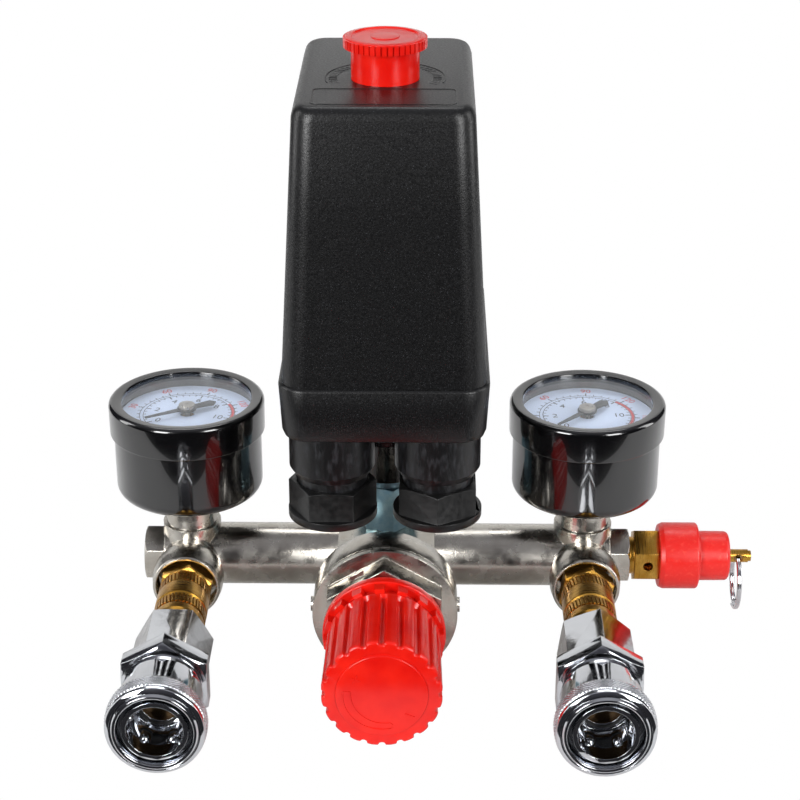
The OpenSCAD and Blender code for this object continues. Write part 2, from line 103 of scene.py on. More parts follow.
def millimetres(x=0, y=0, z=0):
    """A move in millimetres, on top of the scale to metres."""
    return Matrix.Diagonal((MM, MM, MM, 1)) @ Matrix.Translation((x, y, z))


def upright(x=0, y=0):
    """Height 0 of a piece on the pipe's axis, +Z up."""
    return millimetres(x, y, PIPE_Z)


def to_front(x=0):
    """The piece's +Z to the front and its +Y up, from the pipe's axis."""
    return upright(x) @ Matrix.Rotation(math.pi / 2, 4, "X")


def to_right():
    """The piece's +Z to the right, from the middle of the pipe's axis."""
    return upright() @ Matrix.Rotation(math.pi / 2, 4, "Y")


# ---------- node trees ----------


def add(tree, kind, inputs=None, **settings):
    """Adds a node with its settings, and its inputs as values or links."""
    made = tree.nodes.new(kind)
    for key, value in settings.items():
        setattr(made, key, value)
    for key, value in (inputs or {}).items():
        if isinstance(value, bpy.types.NodeSocket):
            tree.links.new(value, made.inputs[key])
        else:
            made.inputs[key].default_value = value
    return made


def linear(code, alpha=1.0):
    """An sRGB hex colour as linear RGBA."""
    values = [int(code[i : i + 2], 16) / 255 for i in (1, 3, 5)]
    return [v / 12.92 if v <= 0.04045 else ((v + 0.055) / 1.055) ** 2.4 for v in values] + [alpha]


def finish(name, colour, roughness, metallic=0.0, **sockets):
    """A material with one Principled shader; returns the material, its tree and the shader."""
    made = bpy.data.materials.new(name)
    made.use_nodes = True
    tree = made.node_tree
    shader = tree.nodes["Principled BSDF"]
    shader.inputs["Base Color"].default_value = linear(colour)
    shader.inputs["Roughness"].default_value = roughness
    shader.inputs["Metallic"].default_value = metallic
    for key, value in sockets.items():
        shader.inputs[key.replace("_", " ").title()].default_value = value
    return made, tree, shader


def speckle(tree, size, detail=3.0, stretch=(1, 1, 1)):
    """Noise of a real size in millimetres, on Object coordinates."""
    place = add(tree, "ShaderNodeTexCoord").outputs["Object"]
    scaled = add(tree, "ShaderNodeMapping", {"Vector": place, "Scale": stretch})
    return add(
        tree,
        "ShaderNodeTexNoise",
        {"Vector": scaled.outputs[0], "Scale": 1 / (size * MM), "Detail": detail},
    ).outputs["Fac"]


def spread(tree, factor, low, high, start=0.3, end=0.7):
    """A factor between start and end, spread over low to high."""
    return add(
        tree,
        "ShaderNodeMapRange",
        {"Value": factor, "From Min": start, "From Max": end, "To Min": low, "To Max": high},
    ).outputs[0]


def tinted(tree, shader, factor, first, second):
    """Base colour between two hex colours."""
    mix = add(
        tree,
        "ShaderNodeMix",
        {0: factor, "A": linear(first), "B": linear(second)},
        data_type="RGBA",
    )
    tree.links.new(mix.outputs["Result"], shader.inputs["Base Color"])


def grained(tree, shader, height, depth, edge=0.0):
    """Surface relief of a real depth in millimetres, over edges rounded by edge millimetres."""
    bump = add(tree, "ShaderNodeBump", {"Height": height, "Distance": depth * MM, "Strength": 1.0})
    if edge:
        round_edge = add(tree, "ShaderNodeBevel", {"Radius": edge * MM}, samples=4)
        tree.links.new(round_edge.outputs[0], bump.inputs["Normal"])
    tree.links.new(bump.outputs[0], shader.inputs["Normal"])


# ---------- finishes ----------


def nickel_plated_casting():
    """Satin nickel on cast and milled brass: warm grey metal with blotches and a few pits."""
    made, tree, shader = finish("nickel_plated_casting", "#C4BFB6", 0.24, 1.0)
    blotch = speckle(tree, 6.0)
    tinted(tree, shader, spread(tree, blotch, 0, 1), "#B4AEA4", "#CFCBC3")
    tree.links.new(spread(tree, blotch, 0.16, 0.34), shader.inputs["Roughness"])
    grained(tree, shader, speckle(tree, 0.9, 4.0), 0.03, 0.35)
    return made


def bright_chrome():
    """Bright nickel-chrome plating on turned and milled steel: a cool mirror, slightly uneven."""
    made, tree, shader = finish("bright_chrome", "#D3D5D9", 0.07, 1.0)
    tree.links.new(spread(tree, speckle(tree, 3.0), 0.05, 0.13), shader.inputs["Roughness"])
    grained(tree, shader, speckle(tree, 2.2), 0.008, 0.25)
    return made


def turned_brass(name, direction):
    """Turned brass with no lacquer: golden metal with fine tool rings across the given axis."""
    made, tree, shader = finish(name, "#BE8E3C", 0.28, 1.0)
    stretch = [0.02, 0.02, 0.02]
    stretch[direction] = 1
    rings = speckle(tree, 0.25, 2.0, stretch)
    tinted(tree, shader, spread(tree, speckle(tree, 4.0), 0, 1), "#B4822F", "#CDA04E")
    tree.links.new(spread(tree, rings, 0.22, 0.38), shader.inputs["Roughness"])
    grained(tree, shader, rings, 0.01, 0.2)
    return made


def blue_zinc():
    """Blue-passivated zinc on a milled steel hexagon: pale blue, soft shine."""
    made, tree, shader = finish("blue_zinc_plated_steel", "#8FB6C6", 0.32, 0.75)
    tinted(tree, shader, spread(tree, speckle(tree, 2.5), 0, 1), "#86AFC2", "#A4C6D1")
    grained(tree, shader, speckle(tree, 0.4), 0.01, 0.25)
    return made


def grained_abs():
    """Black ABS moulded in a spark-eroded tool: fine grain in grains of 0.6 mm, with painted
    glints: lighter grey specks in its colour that stand in for light catching the grain.
    """
    made, tree, shader = finish("grained_black_abs", "#0B0B0C", 0.36)
    grain = speckle(tree, 0.6, 2.0)
    # painted glint: lighter grey specks in the base colour stand in for light catching the grain
    painted_glint = spread(tree, speckle(tree, 0.3, 1.0), 0, 1, 0.66, 0.78)
    tinted(tree, shader, painted_glint, "#0A0A0B", "#3C3E42")
    tree.links.new(spread(tree, grain, 0.3, 0.44), shader.inputs["Roughness"])
    grained(tree, shader, grain, 0.05)
    return made


def scuffed_abs():
    """The same ABS on a plain mould face, rubbed grey in handling."""
    made, tree, shader = finish("scuffed_black_abs", "#101012", 0.4)
    scuff = spread(tree, speckle(tree, 1.6, 6.0, (1, 1, 0.35)), 0, 1, 0.5, 0.75)
    tinted(tree, shader, scuff, "#0E0E0F", "#2B2C30")
    tree.links.new(spread(tree, scuff, 0.34, 0.55, 0, 1), shader.inputs["Roughness"])
    grained(tree, shader, speckle(tree, 0.8, 4.0), 0.02)
    return made


def black_nylon():
    """Moulded black nylon: dark, silky, softly rounded edges."""
    made, tree, shader = finish("black_nylon", "#0E0E0E", 0.38)
    tree.links.new(spread(tree, speckle(tree, 2.0), 0.3, 0.46), shader.inputs["Roughness"])
    grained(tree, shader, speckle(tree, 0.5), 0.01, 0.3)
    return made


def black_enamel():
    """Stoved black enamel on pressed steel: deep black under a clear gloss."""
    made, tree, shader = finish("stoved_black_enamel", "#050506", 0.16, coat_weight=1.0)
    shader.inputs["Coat Roughness"].default_value = 0.04
    tree.links.new(spread(tree, speckle(tree, 8.0), 0.12, 0.22), shader.inputs["Roughness"])
    grained(tree, shader, speckle(tree, 5.0), 0.01)
    return made


def red_abs():
    """Gloss red ABS from a polished mould: saturated, with slight flow marks."""
    made, tree, shader = finish("gloss_red_abs", "#E0160B", 0.2)
    shader.inputs["Subsurface Weight"].default_value = 0.12
    shader.inputs["Subsurface Radius"].default_value = (0.002, 0.0004, 0.0002)
    tinted(tree, shader, spread(tree, speckle(tree, 9.0), 0, 1), "#DA120A", "#EA2012")
    tree.links.new(spread(tree, speckle(tree, 3.0), 0.14, 0.27), shader.inputs["Roughness"])
    grained(tree, shader, speckle(tree, 2.5), 0.012)
    return made


def soft_red_pvc():
    """Dipped red PVC: softer shine than the knob, with small specks in it."""
    made, tree, shader = finish("dipped_red_pvc", "#DE2018", 0.36)
    shader.inputs["Subsurface Weight"].default_value = 0.25
    shader.inputs["Subsurface Radius"].default_value = (0.003, 0.0006, 0.0003)
    tinted(tree, shader, spread(tree, speckle(tree, 1.4), 0, 1, 0.55, 0.8), "#DE1F18", "#E8473A")
    tree.links.new(spread(tree, speckle(tree, 2.0), 0.28, 0.44), shader.inputs["Roughness"])
    grained(tree, shader, speckle(tree, 1.2), 0.02)
    return made


def window_glass():
    """Clear flat glass: lamps pass straight through it, and it mirrors the room faintly."""
    made, tree, shader = finish("clear_gauge_glass", "#F2F6FA", 0.02)
    shader.inputs["Transmission Weight"].default_value = 1.0
    shader.inputs["IOR"].default_value = 1.5
    tree.links.new(spread(tree, speckle(tree, 12.0), 0.01, 0.04), shader.inputs["Roughness"])
    lamp = add(tree, "ShaderNodeLightPath").outputs["Is Shadow Ray"]
    clear = add(tree, "ShaderNodeBsdfTransparent").outputs[0]
    mix = add(tree, "ShaderNodeMixShader", {0: lamp, 1: shader.outputs[0], 2: clear})
    tree.links.new(mix.outputs[0], tree.nodes["Material Output"].inputs["Surface"])
    return made


def plain(name, colour, roughness, metallic=0.0, size=2.0, depth=0.01):
    """A plain finish with slightly uneven shine: plated, turned, printed or moulded."""
    made, tree, shader = finish(name, colour, roughness, metallic)
    uneven = spread(tree, speckle(tree, size), roughness * 0.8, roughness * 1.25)
    tree.links.new(uneven, shader.inputs["Roughness"])
    grained(tree, shader, speckle(tree, size / 3), depth)
    return made


NICKEL = nickel_plated_casting()
CHROME = bright_chrome()
BRASS_Y = turned_brass("turned_brass_lengthwise", Y)
BRASS_X = turned_brass("turned_brass_crosswise", X)
BLUE_ZINC = blue_zinc()
ABS = grained_abs()
ABS_SCUFFED = scuffed_abs()
NYLON = black_nylon()
ENAMEL = black_enamel()
RED_ABS = red_abs()
RED_PVC = soft_red_pvc()
GLASS = window_glass()
DIAL_WHITE = plain("printed_white_enamel", "#CFDAEF", 0.42)
INK_BLACK = plain("black_printing_ink", "#15161A", 0.5)
INK_RED = plain("red_printing_ink", "#D2343A", 0.5)
HAND_LACQUER = plain("grey_black_lacquer", "#1D201F", 0.4)
HUB_METAL = plain("turned_nickel_silver", "#B9B0A4", 0.3, 1.0)
PLAIN_STEEL = plain("plain_turned_steel", "#A9ABAF", 0.28, 1.0)
YELLOW_ZINC = plain("yellow_zinc_plated_steel", "#C6B888", 0.33, 1.0)
SPRING_STEEL = plain("oiled_spring_wire", "#8E8E90", 0.3, 1.0)
RING_STEEL = plain("nickel_plated_wire", "#CFCFD2", 0.14, 1.0)
COPPER = plain("copper_alloy", "#A8683C", 0.3, 1.0)
VALVE_BRASS = plain("darkened_brass", "#4A3A28", 0.42, 1.0)
PHENOLIC = plain("cream_phenolic", "#D6CFBE", 0.45)
RUBBER = plain("nitrile_rubber", "#151515", 0.6)


# ---------- mesh making ----------


def shaded(mesh, angle=32):
    """Smooth faces with sharp edges past an angle in degrees."""
    mesh.shade_smooth()
    mesh.set_sharp_from_angle(angle=math.radians(angle))
    return mesh


def to_mesh(work, material, place=None, angle=32):
    """A finished mesh from a bmesh, with one material, moved to its place."""
    bmesh.ops.remove_doubles(work, verts=work.verts, dist=1e-5)
    bmesh.ops.recalc_face_normals(work, faces=work.faces)
    mesh = bpy.data.meshes.new("part")
    work.to_mesh(mesh)
    work.free()
    mesh.materials.append(material)
    if place is not None:
        mesh.transform(place)
    return shaded(mesh, angle)


def rounded(points, steps=4):
    """An outline whose corners are rounded where a point has a third value, its radius."""
    out = []
    count = len(points)
    for i, point in enumerate(points):
        here = Vector(point[:2])
        if len(point) < 3:
            out.append(tuple(here))
            continue
        before = (Vector(points[i - 1][:2]) - here).normalized()
        after = (Vector(points[(i + 1) % count][:2]) - here).normalized()
        half = before.angle(after) / 2
        reach = point[2] / math.tan(half)
        centre = here + (before + after).normalized() * (point[2] / math.sin(half))
        first = here + before * reach - centre
        last = here + after * reach - centre
        for k in range(steps + 1):
            arm = first.lerp(last, k / steps).normalized() * point[2]
            out.append(tuple(centre + arm))
    return out


def lathe(outline, material, place=None, segments=96, angle=32):
    """An outline of (radius, height) points turned round Z. It closes on itself or on the axis."""
    work = bmesh.new()
    rings = []
    for radius, height in outline:
        if radius < 1e-6:
            rings.append([work.verts.new((0, 0, height))] * segments)
            continue
        rings.append(
            [
                work.verts.new((radius * math.cos(a), radius * math.sin(a), height))
                for a in (TURN * k / segments for k in range(segments))
            ]
        )
    closed = outline[0][0] > 1e-6 or outline[-1][0] > 1e-6
    pairs = zip(rings, rings[1:] + (rings[:1] if closed else []))
    for low, high in pairs:
        for k in range(segments):
            n = (k + 1) % segments
            corners = list(dict.fromkeys([low[k], low[n], high[n], high[k]]))
            if len(corners) > 2:
                work.faces.new(corners)
    return to_mesh(work, material, place, angle)


def stacked(loops, material, place=None, cap_low=True, cap_high=True, angle=32):
    """Skin over loops of points that all have the same count."""
    work = bmesh.new()
    rings = [[work.verts.new(p) for p in loop] for loop in loops]
    for low, high in zip(rings, rings[1:]):
        for k in range(len(low)):
            n = (k + 1) % len(low)
            work.faces.new((low[k], low[n], high[n], high[k]))
    if cap_low:
        work.faces.new(reversed(rings[0]))
    if cap_high:
        work.faces.new(rings[-1])
    return to_mesh(work, material, place, angle)


def round_rectangle(width, depth, corner, height, steps=10):
    """A loop of points round a rectangle with round corners."""
    points = []
    for quarter, (sx, sy) in enumerate(((1, 1), (-1, 1), (-1, -1), (1, -1))):
        cx, cy = sx * (width / 2 - corner), sy * (depth / 2 - corner)
        for k in range(steps + 1):
            a = (quarter + k / steps) * math.pi / 2
            points.append((cx + corner * math.cos(a), cy + corner * math.sin(a), height))
    return points


def bead(path, width, height, material, place=None, closed=False, sink=0.3):
    """A low ridge along a flat path, with sloped sides."""
    work = bmesh.new()
    count = len(path)
    rows = []
    for i in range(count):
        here = Vector(path[i])
        ahead = Vector(path[(i + 1) % count if closed else min(i + 1, count - 1)])
        behind = Vector(path[i - 1 if closed else max(i - 1, 0)])
        side = (ahead - behind).normalized().orthogonal()
        rows.append(
            [
                work.verts.new((*(here + side * across), up))
                for across, up in (
                    (-width / 2, -sink),
                    (-width / 3, height),
                    (width / 3, height),
                    (width / 2, -sink),
                )
            ]
        )
    for first, second in zip(rows, rows[1:] + (rows[:1] if closed else [])):
        for k in range(4):
            n = (k + 1) % 4
            work.faces.new((first[k], first[n], second[n], second[k]))
    if not closed:
        work.faces.new(rows[0])
        work.faces.new(reversed(rows[-1]))
    return to_mesh(work, material, place)


def arc(radius, start, end, steps=40, centre=(0, 0)):
    """Points along an arc, in degrees."""
    angles = [math.radians(start + (end - start) * k / steps) for k in range(steps + 1)]
    return [(centre[0] + radius * math.cos(a), centre[1] + radius * math.sin(a)) for a in angles]


def block(size, middle_at, material, taper=1.0):
    """A block whose top is tapered, centred on a point."""
    work = bmesh.new()
    bmesh.ops.create_cube(work, size=1)
    for v in work.verts:
        share = taper if v.co.z > 0 else 1
        v.co = Vector((v.co.x * size[0], v.co.y * size[1] * share, v.co.z * size[2]))
        v.co += Vector(middle_at)
    return to_mesh(work, material)


def spike(across, along, height, radius, material):
    """A four-sided point that stands on a radius along +X, as a diamond knurl's."""
    work = bmesh.new()
    foot = [(0, across / 2, 0), (0, 0, along / 2), (0, -across / 2, 0), (0, 0, -along / 2)]
    ring = [work.verts.new((radius + x - height * 0.4, y, z)) for x, y, z in foot]
    tip = work.verts.new((radius + height, 0, 0))
    for k in range(4):
        work.faces.new((ring[k], ring[(k + 1) % 4], tip))
    work.faces.new(reversed(ring))
    return to_mesh(work, material, angle=10)


# ---------- geometry nodes ----------


def node_tree(name, inputs):
    """A Geometry Nodes tree with named inputs; returns it with its inputs' sockets."""
    tree = bpy.data.node_groups.new(name, "GeometryNodeTree")
    for label, kind in inputs:
        tree.interface.new_socket(label, in_out="INPUT", socket_type=f"NodeSocket{kind}")
    tree.interface.new_socket("Geometry", in_out="OUTPUT", socket_type="NodeSocketGeometry")
    return tree, add(tree, "NodeGroupInput").outputs


def end_tree(tree, geometry, material):
    """Realize Instances and Set Material at the end of a tree."""
    real = add(tree, "GeometryNodeRealizeInstances", {"Geometry": geometry})
    painted = add(
        tree, "GeometryNodeSetMaterial", {"Geometry": real.outputs[0], "Material": material}
    )
    add(tree, "NodeGroupOutput", {"Geometry": painted.outputs[0]})


def rings_of_teeth_tree():
    """Copies of one tooth round Z, in rows along Z that may be staggered."""
    tree, given = node_tree(
        "rings_of_teeth",
        [
            ("Tooth", "Object"),
            ("Count", "Int"),
            ("Rows", "Int"),
            ("Row Step", "Float"),
            ("Start Height", "Float"),
            ("Stagger", "Float"),
            ("Start Angle", "Float"),
            ("Step Angle", "Float"),
            ("Material", "Material"),
        ],
    )

    def maths(operation, *values):
        return add(tree, "ShaderNodeMath", dict(enumerate(values)), operation=operation).outputs[0]

    total = maths("MULTIPLY", given["Count"], given["Rows"])
    points = add(tree, "GeometryNodeMeshLine", {"Count": total, "Offset": (0, 0, 0)})
    index = add(tree, "GeometryNodeInputIndex").outputs[0]
    row = maths("FLOOR", maths("DIVIDE", maths("ADD", index, 0.5), given["Count"]))
    column = maths("SUBTRACT", index, maths("MULTIPLY", row, given["Count"]))
    steps = maths("ADD", column, maths("MULTIPLY", row, given["Stagger"]))
    turn = maths("ADD", given["Start Angle"], maths("MULTIPLY", steps, given["Step Angle"]))
    height = maths("ADD", given["Start Height"], maths("MULTIPLY", row, given["Row Step"]))
    place = add(tree, "ShaderNodeCombineXYZ", {"Z": height}).outputs[0]
    moved = add(tree, "GeometryNodeSetPosition", {"Geometry": points.outputs[0], "Position": place})
    tooth = add(tree, "GeometryNodeObjectInfo", {"Object": given["Tooth"]})
    rotation = add(tree, "ShaderNodeCombineXYZ", {"Z": turn}).outputs[0]
    copies = add(
        tree,
        "GeometryNodeInstanceOnPoints",
        {
            "Points": moved.outputs[0],
            "Instance": tooth.outputs["Geometry"],
            "Rotation": rotation,
        },
    )
    end_tree(tree, copies.outputs[0], given["Material"])
    return tree


def coil_tree():
    """A helix of wire round Z, from height 0."""
    tree, given = node_tree(
        "wire_coil",
        [
            ("Radius", "Float"),
            ("Wire", "Float"),
            ("Height", "Float"),
            ("Turns", "Float"),
            ("Material", "Material"),
        ],
    )
    path = add(
        tree,
        "GeometryNodeCurveSpiral",
        {
            "Resolution": 40,
            "Rotations": given["Turns"],
            "Start Radius": given["Radius"],
            "End Radius": given["Radius"],
            "Height": given["Height"],
        },
    )
    half = add(tree, "ShaderNodeMath", {0: given["Wire"], 1: 0.5}, operation="MULTIPLY")
    section = add(
        tree, "GeometryNodeCurvePrimitiveCircle", {"Resolution": 12, "Radius": half.outputs[0]}
    )
    wire = add(
        tree,
        "GeometryNodeCurveToMesh",
        {"Curve": path.outputs[0], "Profile Curve": section.outputs[0], "Fill Caps": True},
    )
    smooth = add(tree, "GeometryNodeSetShadeSmooth", {"Geometry": wire.outputs[0]})
    end_tree(tree, smooth.outputs[0], given["Material"])
    return tree


TEETH_TREE = rings_of_teeth_tree()
COIL_TREE = coil_tree()


def grown(tree, values, material, place=None, angle=32):
    """The plain mesh that a tree makes from named values."""
    holder = bpy.data.objects.new("holder", bpy.data.meshes.new("holder"))
    bpy.context.scene.collection.objects.link(holder)
    modifier = holder.modifiers.new("nodes", "NODES")
    modifier.node_group = tree
    values = {**values, "Material": material}
    for socket in tree.interface.items_tree:
        if socket.in_out == "INPUT":
            modifier[socket.identifier] = values[socket.name]
    graph = bpy.context.evaluated_depsgraph_get()
    mesh = bpy.data.meshes.new_from_object(holder.evaluated_get(graph))
    bpy.data.objects.remove(holder)
    mesh.materials.clear()
    mesh.materials.append(material)
    if place is not None:
        mesh.transform(place)
    return shaded(mesh, angle)


def teeth(
    tooth, count, material, place=None, rows=1, row_step=0.0, start=0.0, stagger=0.0,
    first=0.0, step=None, angle=32,
):
    """Copies of a tooth mesh round Z; angles are in degrees and a full circle is the default."""
    maker = bpy.data.objects.new("tooth", tooth)
    bpy.context.scene.collection.objects.link(maker)
    values = {
        "Tooth": maker,
        "Count": count,
        "Rows": rows,
        "Row Step": row_step,
        "Start Height": start,
        "Stagger": stagger,
        "Start Angle": math.radians(first),
        "Step Angle": TURN / count if step is None else math.radians(step),
    }
    mesh = grown(TEETH_TREE, values, material, place, angle)
    bpy.data.objects.remove(maker)
    return mesh


# ---------- finished pieces ----------


def piece(name, meshes, body, slot, *replaced):
    """One object of several meshes, riding on its body in place of the CAD nodes named."""
    made = bpy.data.meshes.new(name)
    work = bmesh.new()
    for part in meshes:
        first, before = len(made.materials), len(work.faces)
        for material in part.materials:
            made.materials.append(material)
        work.from_mesh(part)
        work.faces.ensure_lookup_table()
        for face in work.faces[before:]:
            face.material_index += first
    work.to_mesh(made)
    work.free()
    shown = bpy.data.objects.new(name, made)
    bpy.context.scene.collection.objects.link(shown)
    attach(shown, body)
    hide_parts(*replaced)
    return shown


def carved(mesh, cutter):
    """A mesh with another cut out of it."""
    shown = bpy.data.objects.new("solid", mesh)
    tool = bpy.data.objects.new("tool", cutter)
    for o in (shown, tool):
        bpy.context.scene.collection.objects.link(o)
    cut = shown.modifiers.new("cut", "BOOLEAN")
    cut.object = tool
    cut.solver = "EXACT"
    graph = bpy.context.evaluated_depsgraph_get()
    made = bpy.data.meshes.new_from_object(shown.evaluated_get(graph))
    for o in (shown, tool):
        bpy.data.objects.remove(o)
    return shaded(made)


def smoothed_copy(node, material, bevel=0.0):
    """A CAD node's own shape with merged, smoothly shaded faces and slightly rounded edges."""
    mesh = frame["nodes"][node].data.copy()
    work = bmesh.new()
    work.from_mesh(mesh)
    bmesh.ops.remove_doubles(work, verts=work.verts, dist=1e-7)
    flat = math.radians(0.5)
    bmesh.ops.dissolve_limit(work, angle_limit=flat, verts=work.verts, edges=work.edges)
    if bevel:
        sharp = [e for e in work.edges if len(e.link_faces) == 2 and e.calc_face_angle(0) > 0.5]
        bmesh.ops.bevel(
            work, geom=sharp, offset=bevel * MM, segments=2, affect="EDGES", profile=0.5,
            clamp_overlap=True,
        )
    work.to_mesh(mesh)
    work.free()
    mesh.materials.clear()
    mesh.materials.append(material)
    return shaded(mesh, 28)


BODY_OF = {n: b for b, ns in frame["record"]["behaviour"]["bodies"].items() for n in ns}
SLOT_OF = {row["node"]: row["material_slot"] for row in frame["record"]["subparts"]}


def refine(node, material, bevel=0.0, extra=()):
    """Puts a smooth copy of a CAD node in its place, with any extra meshes on it."""
    meshes = [smoothed_copy(node, material, bevel), *extra]
    return piece(f"{node}_smooth", meshes, BODY_OF[node], SLOT_OF[node], node)


def paint(node, material):
    """Gives a CAD node's own mesh a finish."""
    mesh = frame["nodes"][node].data
    mesh.materials.clear()
    mesh.materials.append(material)


# ---------- switch ----------

COVER_W, COVER_D = 65.2, 97.0
COVER_WALL = 2.5
DRAFT = 9.8
CORNER = 8.0
BUTTON_HOLE_R = 10.82


def cover_shell():
    """Moulded cover: drafted walls, round corners, a soft top edge and the button's hole."""
    height = COVER_TOP - COVER_LOW
    edge = 4.0
    loops = []
    for share in (0, 0.3, 0.6, (height - edge) / height):
        pull = DRAFT * share
        level = COVER_LOW + height * share
        loops.append(round_rectangle(COVER_W - pull, COVER_D - pull, CORNER - share, level))
    for k in range(1, 7):
        a = math.pi / 2 * k / 6
        inward = 2 * edge * (1 - math.cos(a))
        loops.append(
            round_rectangle(
                COVER_W - DRAFT - inward * 0.8,
                COVER_D - DRAFT - inward * 0.8,
                CORNER - 1 - 0.3 * inward,
                COVER_TOP - edge + edge * math.sin(a),
            )
        )
    width, depth = COVER_W - 2 * COVER_WALL, COVER_D - 2 * COVER_WALL
    inner = [
        round_rectangle(width, depth, CORNER - COVER_WALL, COVER_LOW),
        round_rectangle(width - DRAFT, depth - DRAFT, CORNER - 3, COVER_TOP - COVER_WALL),
    ]
    shell = stacked(list(reversed(inner)) + loops, ABS, millimetres())
    low, high = COVER_TOP - 5, COVER_TOP + 2
    hole = [(0, low), (BUTTON_HOLE_R, low), (BUTTON_HOLE_R, high), (0, high)]
    return carved(shell, lathe(hole, ABS, millimetres(0, BUTTON_Y)))


def cover_marks():
    """Raised marks on the cover's top: an arc with ticks behind the button, a frame before it."""
    top = millimetres(0, 0, COVER_TOP)
    behind = millimetres(0, BUTTON_Y, COVER_TOP)
    frame_loop = [p[:2] for p in round_rectangle(44, 17, 2.2, 0, 5)]
    shifted = [(x, y - 30) for x, y in frame_loop]
    meshes = [
        bead(arc(18.9, -18, 198, 60), 0.5, 0.16, ABS, behind),
        bead(shifted, 0.45, 0.16, ABS, top, closed=True),
        bead([(-5.4, -21.8), (-5.4, -38.2)], 0.4, 0.14, ABS, top),
        bead([(5.8, -21.8), (5.8, -38.2)], 0.4, 0.14, ABS, top),
    ]
    tick = block((2.6, 0.55, 0.5), (16.4, 0, -0.1), ABS, 0.6)
    meshes.append(teeth(tick, 36, ABS, behind, first=-24, step=6.4))
    return meshes


def gland_boss(x):
    """Boss under the switch with a chamfered foot and the nut's thread below it."""
    thread = []
    for k in range(5):
        height = 27.8 + k * 1.9
        thread += [(11.4, height + 8.0), (10.3, height + 8.7), (11.4, height + 9.4)]
    outline = [(9, 39), *thread, (11.4, 49.8), (12.4, 49.8), (14, 52.4), (14, 66.6), (9, 66.6)]
    return lathe(outline, ABS_SCUFFED, upright(x, GLAND_Y), angle=25)


def base_moulding():
    """Skirt of the switch with its two gland bosses."""
    low, high = 66.0 + PIPE_Z, COVER_LOW
    outside = [
        (COVER_W - 3.6, COVER_D - 3.6, CORNER - 1.6, low),
        (COVER_W - 1.4, COVER_D - 1.4, CORNER - 0.6, low + 0.7),
        (COVER_W + 0.2, COVER_D + 0.2, CORNER + 0.2, low + 2.6),
        (COVER_W + 2, COVER_D + 2, CORNER + 1, high - 0.9),
        (COVER_W + 1.4, COVER_D + 1.4, CORNER + 0.7, high - 0.3),
        (COVER_W + 0.6, COVER_D + 0.6, CORNER + 0.4, high - 0.02),
    ]
    inside = [
        (COVER_W - 4, COVER_D - 4, CORNER - 2, high - 0.02),
        (COVER_W - 4, COVER_D - 4, CORNER - 2, low + 3),
    ]
    loops = [round_rectangle(*row) for row in outside + inside]
    skirt = stacked(loops, ABS, millimetres())
    return [skirt, gland_boss(-GLAND_X), gland_boss(GLAND_X)]


def button():
    """Red pull and push button: a serrated cap on a smooth stem."""
    low, high = span("switch_button", Z)
    cap = high - 3.6
    outline = rounded(
        [
            (8.3, low), (10.75, low), (10.75, cap), (12.6, cap, 0.3), (12.6, high - 0.3, 0.5),
            (10.7, high - 0.05, 0.3), (10.3, high - 0.55, 0.2), (0, high - 0.5), (0, high - 3.2),
            (8.3, high - 3.2),
        ]
    )
    body = lathe(outline, RED_ABS, millimetres(0, BUTTON_Y))
    rib = block((1.2, 1.5, 2.9), (12.55, 0, cap + 1.6), RED_ABS, 0.9)
    ribs = teeth(rib, 44, RED_ABS, millimetres(0, BUTTON_Y))
    form = rounded([(0, 0.2), (4.4, 0.2, 0.1), (4.8, -0.3), (0, -0.3)])
    spot = lathe(form, RED_ABS, millimetres(0, BUTTON_Y, high - 0.5))
    return [body, ribs, spot]


def adapter_thread():
    """Thread of the blue adapter where it enters the switch."""
    ridges = [(6.6, 32)]
    for k in range(4):
        ridges += [(6.6, 32 + k), (7.3, 32.5 + k)]
    return lathe([(5, 32), *ridges, (6.6, 37), (5, 37)], BLUE_ZINC, upright(), angle=20)


piece("cover_shell", [cover_shell(), *cover_marks()], "root", "black_abs", "switch_cover")
piece("base_moulding", base_moulding(), "root", "black_abs", "switch_base")
piece("button_cap", button(), "button", "red_abs", "switch_button")
refine("gland_nuts", NYLON, 0.35)
refine("switch_adapter", BLUE_ZINC, 0.2, [adapter_thread()])
# painted shade: the flange gets black enamel so it stands in for the shade between the gland bosses
# under the skirt
refine("pressure_flange", ENAMEL, 0.4)


# ---------- gauges ----------

CASE_R, BEZEL_R, WINDOW_R = 25.1, 26.5, 22.1
CASE_LOW = span("gauge_case_left", Z)[0] - PIPE_Z
BEZEL_LOW, GAUGE_TOP = (v - PIPE_Z for v in span("gauge_bezel_left", Z))
DIAL_Z = span("gauge_dial_left", Z)[1] - PIPE_Z
PRINT_TURN = {"left": -15.0, "right": 2.0}
ZERO_ANGLE, DEGREES_PER_BAR, BAR_PER_PSI = 225.0, 22.5, 0.0689
RED_FROM_BAR, FULL_BAR = 8, 12


def gauge_case(place):
    """Deep-drawn can with a rounded foot."""
    outline = rounded(
        [
            (6.7, CASE_LOW + 1.2), (6.7, CASE_LOW), (CASE_R, CASE_LOW, 4.2),
            (CASE_R, BEZEL_LOW + 3.9), (CASE_R - 1.2, BEZEL_LOW + 3.9),
            (CASE_R - 1.2, CASE_LOW + 1.2, 3.4),
        ],
        8,
    )
    return lathe(outline, ENAMEL, place, 128)


def gauge_bezel(place):
    """Pressed ring with a flat face, a rolled lip and a step over the case."""
    outline = rounded(
        [
            (CASE_R + 0.06, BEZEL_LOW), (BEZEL_R - 0.1, BEZEL_LOW, 0.5), (BEZEL_R, GAUGE_TOP, 1.6),
            (WINDOW_R, GAUGE_TOP - 0.4, 0.6), (WINDOW_R, GAUGE_TOP - 2.9),
            (23.2, GAUGE_TOP - 2.9), (23.2, BEZEL_LOW + 4), (CASE_R + 0.06, BEZEL_LOW + 4),
        ],
        6,
    )
    return lathe(outline, ENAMEL, place, 128)


